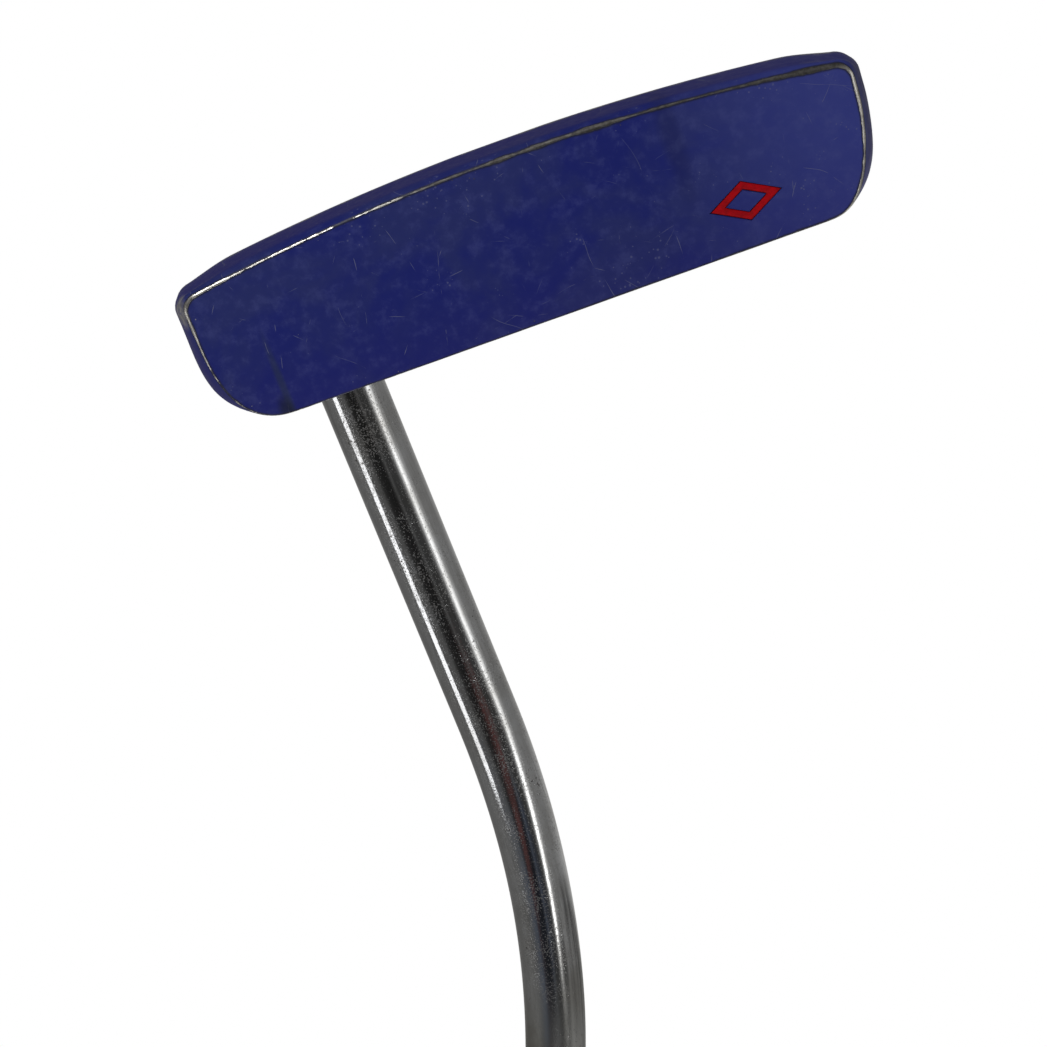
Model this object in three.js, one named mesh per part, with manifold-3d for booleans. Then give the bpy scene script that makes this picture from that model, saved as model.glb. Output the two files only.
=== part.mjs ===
// A right-handed mallet putter: painted cast head, single-bend chrome shaft and rubber pistol grip.
// Millimetres. +X runs from toe to heel, -Y points at the target, +Z is up. The putter is soled at
// address, and the origin is the middle of the small flat that the sole rests on.
import * as THREE from "three";
import { mergeVertices } from "three/addons/utils/BufferGeometryUtils.js";
import Module from "manifold-3d";

const wasm = await Module();
wasm.setup();
const deg = THREE.MathUtils.degToRad;

// ---- Driving dimensions ----
const clubLength = 889; // 35 in, along the upper shaft's axis from the ground to the end of the grip
const lieLean = deg(18.5); // the upper shaft leans this far from upright towards the heel

const head = {
  height: 24.3,
  depth: 54, // front to back
  loft: deg(3.5),
  faceHalfWidth: 47.4,
  flare: 2.1, // the body stands this much proud of the face at toe and heel
  flareDepth: 7,
  shoulder: 4, // how much fuller the flare is just under the top
  endLift: 0.95, // the body's sole rises this much more at its toe and heel ends
  camberRadius: 306, // the sole's heel-to-toe curve
  flatHalfLength: 6, // half the length of the flat in the middle of that curve
};
const sole = { edgeRise: 0.8, landStart: 1.9, landEnd: 9.5, relief: deg(12) };
const bar = { back: 15.5, slope: deg(3), stepDepth: 5.5 }; // the full-height bar behind the face
const flange = { top: 13, slope: deg(0.6) }; // the low half-moon behind the bar
const plan = { widestDepth: 14, exponent: 2.2, tailWidth: 0.16 }; // the half-moon seen from above
// Upper corners of the face: superellipses with a power for the side and one for the top.
const toeCorner = { widestHeight: 8.6, width: 8.7, sidePower: 2.75, topPower: 1.6 };
const heelCorner = { widestHeight: 9.6, width: 9.5, sidePower: 2.6, topPower: 2.6 };
const lowerCornerRadius = 2.6;

const shaftTip = { radius: 4.7, wall: 0.6, parallelLength: 290 }; // 0.370 in tip
const shaftButt = { radius: 7.37, wall: 0.45 }; // 0.580 in butt
const shaftSteps = { count: 12, pitch: 25.4, ramp: 1.5 };
const shaftEntry = { x: 30.9, depth: 7.2 }; // where the axis meets the top of the head
const lowerLean = { toToe: deg(1.5), toTarget: deg(4.5) }; // the stretch between head and bend
const bend = { start: 54.5, length: 56 }; // above the top of the head, along the axis

const bore = { depth: 19, radius: 5.05, sinkRadius: 5.75, sinkDepth: 1.2 };
const tipGap = 1.2; // the shaft's tip stands this far off the bore's floor
const bondGap = 0.1; // clearance on each face of the adhesive
const plug = { from: 0.2, length: 12, gap: 0.1, chamfer: 0.6, chamferTo: 1.2 }; // above the tip

const faceMark = { x: -29, height: 17.6, width: 10.4, tall: 5.8, stroke: 1.15 };
const sightLine = { width: 1.6, flangeFrom: 23, flangeTo: 49, crownFrom: 3.2, crownTo: 13.2 };
const inlay = { recess: 0.55, thickness: 0.45, gap: 0.06 }; // enamel-filled recesses

const grip = { length: 266, mouthRadius: 9.3, buttWidth: 12.6, flatReach: 11.2, backReach: 14.5 };
const gripFit = { mouthRound: 0.4, capGap: 0.1, shaftGap: 0.4 };
const gripCap = { thickness: 4.5, flange: 1.6, edge: 0.5, crownInset: 1.1, ventRadius: 1.5 };
const spigot = { length: 14, gap: 0.12, chamfer: 0.5, chamferLength: 1 }; // inside the shaft's butt
const tape = { thickness: 0.25, gap: 0.1, fromMouth: 8, fromCap: 0.6 };

const round = 24; // facets round the shaft and what fits it
const gripFacets = 28;
const landMiddle = (sole.landStart + sole.landEnd) / 2;
const tipBelow = bore.depth - tipGap; // from the top of the head down to the shaft's tip

// ---- Solids ----
function toSolid(geometry) {
  const plain = new THREE.BufferGeometry();
  const flat = geometry.index ? geometry.toNonIndexed() : geometry;
  plain.setAttribute("position", flat.getAttribute("position"));
  const merged = mergeVertices(plain, 1e-3);
  return new wasm.Manifold(
    new wasm.Mesh({
      numProp: 3,
      vertProperties: merged.attributes.position.array,
      triVerts: new Uint32Array(merged.index.array),
    }),
  );
}

function toGeometry(solid) {
  const mesh = solid.getMesh();
  const points = new Float32Array(mesh.numVert * 3);
  for (let i = 0; i < mesh.numVert; i++) {
    points.set(mesh.vertProperties.subarray(i * mesh.numProp, i * mesh.numProp + 3), i * 3);
  }
  const geometry = new THREE.BufferGeometry();
  geometry.setAttribute("position", new THREE.BufferAttribute(points, 3));
  geometry.setIndex(new THREE.BufferAttribute(mesh.triVerts, 1));
  geometry.computeVertexNormals();
  return geometry;
}

// A closed profile of [radius, height] pairs turned about +Z.
function turned(profile, facets = round) {
  const closed = [...profile, profile[0]].map(([r, z]) => new THREE.Vector2(r, z));
  return new THREE.LatheGeometry(closed, facets).rotateX(Math.PI / 2);
}

function extruded(shape, depth, steps = 1) {
  return new THREE.ExtrudeGeometry(shape, { depth, steps, bevelEnabled: false });
}

function reshape(geometry, move) {
  const at = geometry.getAttribute("position");
  const p = new THREE.Vector3();
  for (let i = 0; i < at.count; i++) {
    move(p.fromBufferAttribute(at, i));
    at.setXYZ(i, p.x, p.y, p.z);
  }
  return geometry;
}

// ---- Materials ----
const painted = (color, roughness) =>
  new THREE.MeshStandardMaterial({ color, roughness, metalness: 0.1 });
const materials = {
  bluePaint: painted(0x26296b, 0.42),
  redEnamel: painted(0xb00c12, 0.45),
  whiteEnamel: painted(0xdcdcd6, 0.5),
  chrome: new THREE.MeshStandardMaterial({ color: 0xc9cbce, roughness: 0.1, metalness: 1 }),
  epoxy: painted(0x3a3b36, 0.35),
  plugPlastic: painted(0x7a7d80, 0.7),
  tape: painted(0xc9b98e, 0.9),
  rubber: painted(0x18181a, 0.85),
};

// ---- Head ----
const camber = (x) =>
  Math.max(0, (x * x - head.flatHalfLength ** 2) / (2 * head.camberRadius));

// The sole's height above the ground at a depth behind the face, on the middle line.
function soleHeight(d) {
  if (d < sole.landStart) {
    return sole.edgeRise * (1 - d / sole.landStart) ** 2;
  }
  return Math.max(0, d - sole.landEnd) * Math.tan(sole.relief);
}

// The top's height: a bar that slopes back a little, an S-shaped step, then the flange.
function topHeight(d) {
  const barTop = head.height - Math.min(d, bar.back) * Math.tan(bar.slope);
  const flangeTop = flange.top - (d - bar.back - bar.stepDepth) * Math.tan(flange.slope);
  const share = THREE.MathUtils.smoothstep(d, bar.back, bar.back + bar.stepDepth);
  return barTop + (flangeTop - barTop) * share;
}

// The half-width at a depth, as a share of the face's own, at a share of the height there.
function planShare(d, heightShare) {
  const shoulder = 1 + head.shoulder * heightShare ** 4 * (1 - heightShare);
  const bodyShare = 1 + (head.flare * shoulder) / head.faceHalfWidth;
  if (d < head.flareDepth) {
    const left = 1 - d / head.flareDepth;
    return bodyShare - (bodyShare - 1) * left * left;
  }
  const back = Math.max(0, d - plan.widestDepth) / (head.depth - plan.widestDepth);
  const share = Math.max(0, 1 - back ** plan.exponent) ** (1 / plan.exponent);
  return bodyShare * Math.max(plan.tailWidth, share);
}

// One upper corner of the face, from its widest height up to the top line.
function cornerPoints(corner, side, count = 9) {
  const tall = head.height - corner.widestHeight;
  const inner = head.faceHalfWidth - corner.width;
  return Array.from({ length: count }, (_, i) => {
    const a = (i / (count - 1)) * (Math.PI / 2);
    return new THREE.Vector2(
      side * (inner + corner.width * Math.cos(a) ** (2 / corner.sidePower)),
      corner.widestHeight + tall * Math.sin(a) ** (2 / corner.topPower),
    );
  });
}

// The face's outline, counter-clockwise from the toe end of the sole.
function faceOutline() {
  const w = head.faceHalfWidth;
  const r = lowerCornerRadius;
  const soleEnd = w - r;
  const half = [6, 14, 22, 30, 38];
  const stations = [-soleEnd, ...half.map((x) => -x).reverse(), ...half, soleEnd];
  const solePoints = stations.map((x) => new THREE.Vector2(x, camber(x)));
  const lowerHeel = [30, 60, 90].map(
    (a) =>
      new THREE.Vector2(soleEnd + r * Math.sin(deg(a)), camber(soleEnd) + r * (1 - Math.cos(deg(a)))),
  );
  const lowerToe = lowerHeel.map((p) => new THREE.Vector2(-p.x, p.y)).reverse();
  return [
    ...solePoints,
    ...lowerHeel,
    ...cornerPoints(heelCorner, 1),
    ...cornerPoints(toeCorner, -1).reverse(),
    ...lowerToe,
  ];
}

// Where a point of the outline lies at a depth: the section follows the sole, top and plan.
function headPoint(x, z, d) {
  const share = (z - camber(x)) / (head.height - camber(x));
  const widening = planShare(d, share);
  const end = THREE.MathUtils.smoothstep(Math.abs(x), 38, head.faceHalfWidth);
  const lift = head.endLift * end * THREE.MathUtils.smoothstep(d, 0, 3);
  const bottom = camber(x * Math.min(1, widening)) + soleHeight(d) + lift;
  const height = bottom + share * (topHeight(d) - bottom);
  const y = d - landMiddle + height * Math.tan(head.loft);
  return new THREE.Vector3(x * widening, y, height);
}

// The depths of the head's sections, closer where its shape turns.
function sectionDepths() {
  const front = [0, 0.7, 1.4, sole.landStart, 4.5, head.flareDepth, sole.landEnd, 12];
  const stepCount = 6;
  const step = Array.from({ length: stepCount + 1 }, (_, i) => bar.back + (bar.stepDepth * i) / stepCount);
  const tailCount = 9;
  const stepEnd = bar.back + bar.stepDepth;
  const tail = Array.from({ length: tailCount }, (_, i) => {
    const a = ((i + 1) / tailCount) * (Math.PI / 2);
    return stepEnd + (head.depth - stepEnd) * Math.sin(a);
  });
  return [...front, ...step, ...tail];
}

function headBlank() {
  const depths = sectionDepths();
  const blank = extruded(new THREE.Shape(faceOutline()), depths.length - 1, depths.length - 1);
  // The extrusion's x and y are the outline, and its z counts the sections from the tail forwards.
  const last = depths.length - 1;
  return reshape(blank, (p) => p.copy(headPoint(p.x, p.y, depths[last - Math.round(p.z)])));
}

// ---- Shaft axis ----
const lowerWay = new THREE.Vector3(-Math.tan(lowerLean.toToe), -Math.tan(lowerLean.toTarget), 1).normalize();
const upperWay = new THREE.Vector3(Math.sin(lieLean), 0, Math.cos(lieLean));
const entryTop = topHeight(shaftEntry.depth);
const entry = new THREE.Vector3(
  shaftEntry.x,
  shaftEntry.depth - landMiddle + entryTop * Math.tan(head.loft),
  entryTop,
);
const bendAngle = lowerWay.angleTo(upperWay);
const bendRadius = bend.length / bendAngle;
const along = (point, way, distance) => point.clone().addScaledVector(way, distance);

// The frame of a straight blank before it is bent: z along it, x towards the side it bends to.
const inward = upperWay.clone().addScaledVector(lowerWay, -upperWay.dot(lowerWay)).normalize();
const across = new THREE.Vector3().crossVectors(lowerWay, inward);
const tipPoint = along(entry, lowerWay, -tipBelow);
const bendStart = tipBelow + bend.start; // from the tip
const blankFrame = new THREE.Matrix4().makeBasis(inward, across, lowerWay).setPosition(tipPoint);

function bendPoint(p) {
  const past = p.z - bendStart;
  if (past > 0) {
    const angle = Math.min(past, bend.length) / bendRadius;
    const rest = Math.max(0, past - bend.length);
    const arm = bendRadius - p.x;
    p.x = bendRadius - arm * Math.cos(angle) + rest * Math.sin(angle);
    p.z = bendStart + arm * Math.sin(angle) + rest * Math.cos(angle);
  }
  return p.applyMatrix4(blankFrame);
}

const bendEnd = bendPoint(new THREE.Vector3(0, 0, bendStart + bend.length));
const ground = along(bendEnd, upperWay, -bendEnd.z / upperWay.z); // the upper axis meets the ground here
const gripEnd = along(ground, upperWay, clubLength);
const upperLength = bendEnd.distanceTo(gripEnd) - gripCap.thickness - gripFit.shaftGap;
const shaftLength = bendStart + bend.length + upperLength;

// Everything on the upper shaft is made about its own +Z, measured down from the end of the grip.
const upperGroup = new THREE.Group();
upperGroup.position.copy(gripEnd);
upperGroup.quaternion.setFromUnitVectors(new THREE.Vector3(0, 0, 1), upperWay);

// ---- Pieces ----
const meshes = new THREE.Group();
const add = (name, geometry, material, parent = meshes) => {
  const mesh = new THREE.Mesh(geometry, material);
  mesh.name = name;
  parent.add(mesh);
  return mesh;
};

// Puts a solid made along +Z, with z = 0 at the shaft's tip, on the lower shaft's axis.
const onLowerAxis = (geometry) => geometry.applyMatrix4(blankFrame);

function boreCutter() {
  const clear = tipBelow + 4; // well above the top of the head
  return onLowerAxis(
    turned([
      [0, -tipGap],
      [bore.radius, -tipGap],
      [bore.radius, tipBelow - bore.sinkDepth],
      [bore.sinkRadius, tipBelow],
      [bore.sinkRadius, clear],
      [0, clear],
    ]),
  );
}

// Places a flat shape on the striking face, with its x along +X, its y up the face and its
// extrusion outwards from a depth below the face.
const facePlane = new THREE.Matrix4()
  .makeBasis(
    new THREE.Vector3(1, 0, 0),
    new THREE.Vector3(0, Math.sin(head.loft), Math.cos(head.loft)),
    new THREE.Vector3(0, -Math.cos(head.loft), Math.sin(head.loft)),
  )
  .setPosition(0, -landMiddle, 0);

function diamond(width, tall) {
  return [
    new THREE.Vector2(width / 2, 0),
    new THREE.Vector2(0, tall / 2),
    new THREE.Vector2(-width / 2, 0),
    new THREE.Vector2(0, -tall / 2),
  ];
}

// A hollow diamond, grown by a gap on every side.
function markShape(gap) {
  const slant = Math.hypot(faceMark.width, faceMark.tall);
  const ring = (by) =>
    diamond(
      faceMark.width + (2 * by * slant) / faceMark.tall,
      faceMark.tall + (2 * by * slant) / faceMark.width,
    );
  const shape = new THREE.Shape(ring(gap));
  shape.holes.push(new THREE.Path(ring(-faceMark.stroke - gap)));
  return shape;
}

function onFace(shape, from, to) {
  return extruded(shape, to - from)
    .translate(faceMark.x, faceMark.height / Math.cos(head.loft), from)
    .applyMatrix4(facePlane);
}

// A bar lying on the top of the head along the middle line, from a level below the top to another.
function onTop(from, to, below, above, width) {
  const heights = [topHeight(from), topHeight(to)];
  const depths = [from, to];
  const corner = (i, level) => {
    const z = heights[i] + level;
    return new THREE.Vector2(depths[i] - landMiddle + z * Math.tan(head.loft), z);
  };
  const side = new THREE.Shape([corner(0, below), corner(1, below), corner(1, above), corner(0, above)]);
  const frame = new THREE.Matrix4().makeBasis(
    new THREE.Vector3(0, 1, 0),
    new THREE.Vector3(0, 0, 1),
    new THREE.Vector3(1, 0, 0),
  );
  return extruded(side, width).translate(0, 0, -width / 2).applyMatrix4(frame);
}

const sightSpans = {
  sight_line_flange: [sightLine.flangeFrom, sightLine.flangeTo],
  sight_line_crown: [sightLine.crownFrom, sightLine.crownTo],
};

function headBody() {
  let solid = toSolid(headBlank());
  solid = solid.subtract(toSolid(boreCutter()));
  solid = solid.subtract(toSolid(onFace(markShape(0), -inlay.recess, 1)));
  for (const [from, to] of Object.values(sightSpans)) {
    solid = solid.subtract(toSolid(onTop(from, to, -inlay.recess, 2, sightLine.width)));
  }
  return toGeometry(solid);
}

function makeHead() {
  add("head_body", headBody(), materials.bluePaint);
  const floor = -inlay.recess + inlay.gap;
  const mark = onFace(markShape(-inlay.gap), floor, floor + inlay.thickness);
  add("face_mark_fill", mark, materials.redEnamel);
  for (const [name, [from, to]] of Object.entries(sightSpans)) {
    const fill = onTop(
      from + inlay.gap,
      to - inlay.gap,
      floor,
      floor + inlay.thickness,
      sightLine.width - 2 * inlay.gap,
    );
    add(name, fill, materials.whiteEnamel);
  }
}

// The shaft's outside radius at each break of its profile, from the tip to the butt.
function shaftProfile() {
  const rise = (shaftButt.radius - shaftTip.radius) / shaftSteps.count;
  const bendCount = 14;
  const bendAt = Array.from({ length: bendCount + 1 }, (_, i) => bendStart + (bend.length * i) / bendCount);
  const outer = [[shaftTip.radius, 0], ...bendAt.map((z) => [shaftTip.radius, z])];
  for (let i = 0; i < shaftSteps.count; i++) {
    const z = shaftTip.parallelLength + i * shaftSteps.pitch;
    outer.push([shaftTip.radius + i * rise, z], [shaftTip.radius + (i + 1) * rise, z + shaftSteps.ramp]);
  }
  outer.push([shaftButt.radius, shaftLength]);
  const lastStep = shaftTip.parallelLength + (shaftSteps.count - 1) * shaftSteps.pitch;
  const inTip = shaftTip.radius - shaftTip.wall;
  const inner = [
    [shaftButt.radius - shaftButt.wall, shaftLength],
    [shaftButt.radius - shaftButt.wall, lastStep],
    [inTip, shaftTip.parallelLength],
    ...bendAt.reverse().map((z) => [inTip, z]),
    [inTip, 0],
  ];
  return [...outer, ...inner];
}

function makeShaft() {
  add("shaft", reshape(turned(shaftProfile()), bendPoint), materials.chrome);
  const inner = shaftTip.radius + bondGap;
  const outer = bore.radius - bondGap;
  const bottom = -tipGap + bondGap;
  const cupFloor = -0.15; // the adhesive also lies under the tip, and stops short of it
  const crown = tipBelow - bore.sinkDepth / 2;
  const bond = turned([
    [0, bottom],
    [outer, bottom],
    [outer, tipBelow - bore.sinkDepth],
    [outer + (bore.sinkRadius - bore.radius) / 2, crown],
    [inner, crown],
    [inner, cupFloor],
    [0, cupFloor],
  ]);
  add("shaft_bond", onLowerAxis(bond), materials.epoxy);
  const plugRadius = shaftTip.radius - shaftTip.wall - plug.gap;
  const tipPlug = turned([
    [0, plug.from],
    [plugRadius - plug.chamfer, plug.from],
    [plugRadius, plug.chamferTo],
    [plugRadius, plug.length],
    [0, plug.length],
  ]);
  add("tip_plug", onLowerAxis(tipPlug), materials.plugPlastic);
}

// The grip's outside at a distance below its end and an angle round it from the golfer's side.
// It is flat under the thumbs on the far side, and has a pistol swell on the golfer's side.
function gripRadius(below, angle) {
  const t = below / grip.length;
  const swell = Math.exp(-(((below - 42) / 46) ** 2));
  const neck = THREE.MathUtils.smoothstep(1 - t, 0, 0.85);
  const halfWidth = grip.mouthRadius + (grip.buttWidth - grip.mouthRadius) * neck;
  const back = grip.mouthRadius + (grip.backReach - grip.mouthRadius) * (0.62 * neck + 0.38 * swell);
  const front = grip.mouthRadius + (grip.flatReach - grip.mouthRadius) * neck;
  const side = Math.sin(angle);
  const depth = Math.cos(angle); // positive towards the golfer
  const reach = depth > 0 ? back : halfWidth;
  const oval = 1 / Math.hypot(side / halfWidth, depth / reach);
  return depth < 0 ? Math.min(oval, -front / depth) : oval;
}

// Outside points of the grip and its cap are turned at stand-in radii wider than any bore, and
// are then moved to the grip's own outside.
const standIn = 20;
const widestBore = 15;

function fitOutside(geometry, outsideRadius) {
  return reshape(geometry, (p) => {
    const r = Math.hypot(p.x, p.y);
    if (r > widestBore) {
      const scale = outsideRadius(p, Math.atan2(p.y, p.x), r) / r;
      p.x *= scale;
      p.y *= scale;
    }
  });
}

const tapeInner = shaftButt.radius + tape.gap;
const tapeOuter = tapeInner + tape.thickness;
const gripBore = tapeOuter + tape.gap;
const sleeveTop = -gripCap.thickness + gripCap.flange;

function gripSleeve() {
  const sections = 22;
  const outer = Array.from({ length: sections + 1 }, (_, i) => [
    standIn,
    -grip.length + ((grip.length + sleeveTop) * i) / sections,
  ]);
  const sleeve = turned([...outer, [gripBore, sleeveTop], [gripBore, -grip.length]], gripFacets);
  return fitOutside(sleeve, (p, angle) => {
    const atMouth = p.z < -grip.length + 1;
    return gripRadius(-p.z, angle) - (atMouth ? gripFit.mouthRound : 0);
  });
}

function gripTape() {
  const from = -grip.length + tape.fromMouth;
  const to = -(gripCap.thickness + tape.fromCap);
  return turned([
    [tapeInner, from],
    [tapeOuter, from],
    [tapeOuter, to],
    [tapeInner, to],
  ]);
}

// The end cap: a low button that closes the sleeve, with a spigot inside the shaft's butt.
function capGeometry() {
  const seat = sleeveTop + gripFit.capGap;
  const underside = -gripCap.thickness - gripFit.capGap;
  const spigotEnd = underside - spigot.length;
  const spigotRadius = shaftButt.radius - shaftButt.wall - spigot.gap;
  const crown = standIn - 1; // stands for the edge of the flat end, inside the rim
  const cap = turned(
    [
      [gripCap.ventRadius, 0],
      [gripCap.ventRadius, spigotEnd],
      [spigotRadius - spigot.chamfer, spigotEnd],
      [spigotRadius, spigotEnd + spigot.chamferLength],
      [spigotRadius, underside],
      [gripBore - gripFit.capGap, underside],
      [gripBore - gripFit.capGap, seat],
      [standIn, seat],
      [standIn, seat + gripCap.edge],
      [crown, 0],
    ],
    gripFacets,
  );
  return fitOutside(cap, (p, angle, r) => {
    const atCrown = r < (crown + standIn) / 2;
    return gripRadius(-sleeveTop, angle) - (atCrown ? gripCap.crownInset : 0);
  });
}

function makeGrip() {
  add("grip", gripSleeve(), materials.rubber, upperGroup);
  add("grip_tape", gripTape(), materials.tape, upperGroup);
  add("grip_cap", capGeometry(), materials.rubber, upperGroup);
}

makeHead();
makeShaft();
makeGrip();
meshes.add(upperGroup);

export default meshes;
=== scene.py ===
import math
import random

import bmesh
import bpy
from mathutils import Matrix, Vector, kdtree


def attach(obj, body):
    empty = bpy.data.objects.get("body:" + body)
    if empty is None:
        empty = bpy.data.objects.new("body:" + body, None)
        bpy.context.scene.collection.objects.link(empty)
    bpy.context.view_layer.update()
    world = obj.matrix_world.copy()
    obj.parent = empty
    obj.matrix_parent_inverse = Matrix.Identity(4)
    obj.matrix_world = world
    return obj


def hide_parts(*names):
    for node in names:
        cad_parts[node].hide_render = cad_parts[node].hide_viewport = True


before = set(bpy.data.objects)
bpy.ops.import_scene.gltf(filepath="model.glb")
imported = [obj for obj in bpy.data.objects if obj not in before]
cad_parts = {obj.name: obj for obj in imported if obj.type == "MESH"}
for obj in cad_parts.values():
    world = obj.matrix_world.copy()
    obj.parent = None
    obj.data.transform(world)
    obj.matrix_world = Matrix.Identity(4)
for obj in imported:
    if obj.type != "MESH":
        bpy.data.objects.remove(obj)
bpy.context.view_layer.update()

# A right-handed mallet putter. The row frame: +X toe to heel, -Y to the target, +Z up, origin on
# the ground under the middle of the sole. Shapes are worked out in millimetres, and meshes and
# materials are made in metres.
MM = 0.001

# ---- Dimensions shared with the CAD model, in millimetres ----
HEAD_HEIGHT = 24.3
HEAD_DEPTH = 54.0
LOFT = math.radians(3.5)
FACE_HALF = 47.4
FLARE = 2.1  # the body stands this much proud of the face at toe and heel
FLARE_DEPTH = 7.0
SHOULDER = 4.0  # how much fuller the flare is just under the top
END_LIFT = 0.95  # the body's sole rises this much more at its toe and heel ends
END_FROM = 38.0
END_RISE_DEPTH = 3.0
CAMBER_RADIUS = 306.0
FLAT_HALF = 6.0
SOLE_EDGE_RISE = 0.8
LAND_START = 1.9
LAND_END = 9.5
LAND_MIDDLE = (LAND_START + LAND_END) / 2
RELIEF = math.radians(12)
BAR_BACK = 15.5
BAR_SLOPE = math.radians(3)
STEP_DEPTH = 5.5
FLANGE_TOP = 13.0
FLANGE_SLOPE = math.radians(0.6)
PLAN_WIDEST = 14.0
PLAN_POWER = 2.2
TAIL_SHARE = 0.16
# Upper corners of the face: widest height, width, and the superellipse powers of side and top.
TOE_CORNER = (8.6, 8.7, 2.75, 1.6)
HEEL_CORNER = (9.6, 9.5, 2.6, 2.6)
LOWER_CORNER = 2.6

TIP_RADIUS = 4.7
BUTT_RADIUS = 7.37
TIP_WALL = 0.6
BUTT_WALL = 0.45
TIP_PARALLEL = 290.0
STEPS = 12
STEP_PITCH = 25.4
STEP_RAMP = 1.5
ENTRY_X = 30.9
ENTRY_DEPTH = 7.2
LEAN_TOE = math.radians(1.5)
LEAN_TARGET = math.radians(4.5)
LIE_LEAN = math.radians(18.5)
BEND_START = 54.5
BEND_LENGTH = 56.0
CLUB_LENGTH = 889.0
BORE_DEPTH = 19.0
TIP_GAP = 1.2  # the shaft's tip stands this far off the bore's floor
BORE_RADIUS = 5.05
SINK_RADIUS = 5.75
SINK_DEPTH = 1.2

MARK_X = -29.0
MARK_HEIGHT = 17.6
MARK_WIDTH = 10.4
MARK_TALL = 5.8
MARK_STROKE = 1.15
SIGHT_WIDTH = 1.6
SIGHT_SPANS = {"sight_line_flange": (23.0, 49.0), "sight_line_crown": (3.2, 13.2)}
INLAY_RECESS = 0.55
INLAY_GAP = 0.06

GRIP_LENGTH = 266.0
GRIP_MOUTH = 9.3
GRIP_HALF = 12.6
GRIP_FLAT = 11.2
GRIP_BACK = 14.5
SWELL_BELOW = 42.0  # the middle of the pistol swell, below the grip's end
SWELL_REACH = 46.0
SWELL_SHARE = 0.38
NECK_SHARE = 0.85  # how far up the grip it has reached its full size
CAP_THICKNESS = 4.5
CAP_FLANGE = 1.6
CAP_GAP = 0.1
SPIGOT_LENGTH = 14.0
SPIGOT_GAP = 0.12
SHAFT_GAP = 0.4  # between the shaft's upper end and the cap
VENT_RADIUS = 1.5
TAPE_BUILD = 0.35  # the grip's tape and its clearance
GRIP_BORE = BUTT_RADIUS + TAPE_BUILD + 0.1

# ---- Detail that the CAD model leaves out, in millimetres ----
FACE_INSETS = (1.9, 1.1, 0.65, 0.3)  # rings on the face, inside its rounded edge
EDGE_RADIUS = 0.2  # of the face's edge where it isn't worn
EDGE_RADIUS_WORN = 0.5  # added for each millimetre of worn width
TAIL_ROUND = 0.9
BEND_FLATTENING = 0.018  # a bent tube's loss of width, as a share
BUTT_WALL_LENGTH = 40.0  # the wall keeps its butt thickness this far down
TUBE_END_ROUND = 0.12
RIB_PITCH = 3.6
RIB_FROM = 26.0
RIB_TO = 232.0
RIB_DEPTH = 0.32
BEADS = (GRIP_LENGTH - 6.0, 12.0)  # sunk lines round the grip, below its end
BEAD_DEPTH = 0.3
BEAD_REACH = 0.8
# Enamel and pocket profiles, from the bottom up: height out of the surface, and inset.
INLAY_FLOOR = -INLAY_RECESS + INLAY_GAP
INLAY_LEVELS = [(INLAY_FLOOR, 0.0), (-0.2, 0.0), (-0.13, 0.05), (-0.1, 0.16)]
CUT_LEVELS = [(-INLAY_RECESS, 0.0), (-0.1, 0.0), (0.6, -0.35)]
# The cap's rim, as heights over its seat and insets. Its end, as heights and radii.
CAP_RIM = [(0.0, 0.3), (0.12, 0.1), (0.35, 0.0), (1.2, 0.08), (1.8, 0.34), (2.3, 0.85), (2.6, 1.5)]
CAP_SUNK = [(-0.1, 7.0), (-0.35, 6.85), (-0.35, 6.25), (-0.1, 6.1)]
CAP_END = [(0.0, 7.2)] + CAP_SUNK + [(0.0, 5.9), (0.0, 2.3), (-0.06, 1.8)]
BORE_FACETS = 72
SHAFT_FACETS = 96
GRIP_FACETS = 120
GRIP_ROWS = 580

# ---- Small helpers ----
def smoothstep(x, low, high):
    t = min(1.0, max(0.0, (x - low) / (high - low)))
    return t * t * (3 - 2 * t)


def lerp(a, b, t):
    return a + (b - a) * t


def around(count):
    """Evenly spaced angles of a full turn."""
    return [2 * math.pi * k / count for k in range(count)]


def polar(radius, angle, z):
    return Vector((radius * math.cos(angle), radius * math.sin(angle), z))


def new_object(name, bm, material, smooth_angle=None):
    """A mesh object from a bmesh in millimetres, with one material."""
    mesh = bpy.data.meshes.new(name)
    bmesh.ops.scale(bm, vec=(MM, MM, MM), verts=bm.verts)
    bm.to_mesh(mesh)
    bm.free()
    obj = bpy.data.objects.new(name, mesh)
    bpy.context.scene.collection.objects.link(obj)
    if material:
        mesh.materials.append(material)
    shade(obj, smooth_angle)
    return obj


def shade(obj, smooth_angle):
    """Smooth faces, with an edge kept sharp where it turns by more than the angle in degrees."""
    mesh = obj.data
    mesh.polygons.foreach_set("use_smooth", [True] * len(mesh.polygons))
    if smooth_angle is None:
        return
    bm = bmesh.new()
    bm.from_mesh(mesh)
    limit = math.radians(smooth_angle)
    for edge in bm.edges:
        if len(edge.link_faces) == 2:
            edge.smooth = edge.calc_face_angle(0) < limit
    bm.to_mesh(mesh)
    bm.free()


def skin(bm, rings, closed=False):
    """Joins rings of equal length with quads, facing out, and closes the row or caps its ends."""
    n = len(rings[0])
    pairs = list(zip(rings, rings[1:]))
    if closed:
        pairs.append((rings[-1], rings[0]))
    for a, b in pairs:
        for i in range(n):
            j = (i + 1) % n
            bm.faces.new((a[i], a[j], b[j], b[i]))
    if not closed:
        bm.faces.new(list(reversed(rings[0])))
        bm.faces.new(rings[-1])
    bmesh.ops.recalc_face_normals(bm, faces=bm.faces)


def ring(bm, points):
    return [bm.verts.new(p) for p in points]


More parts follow.
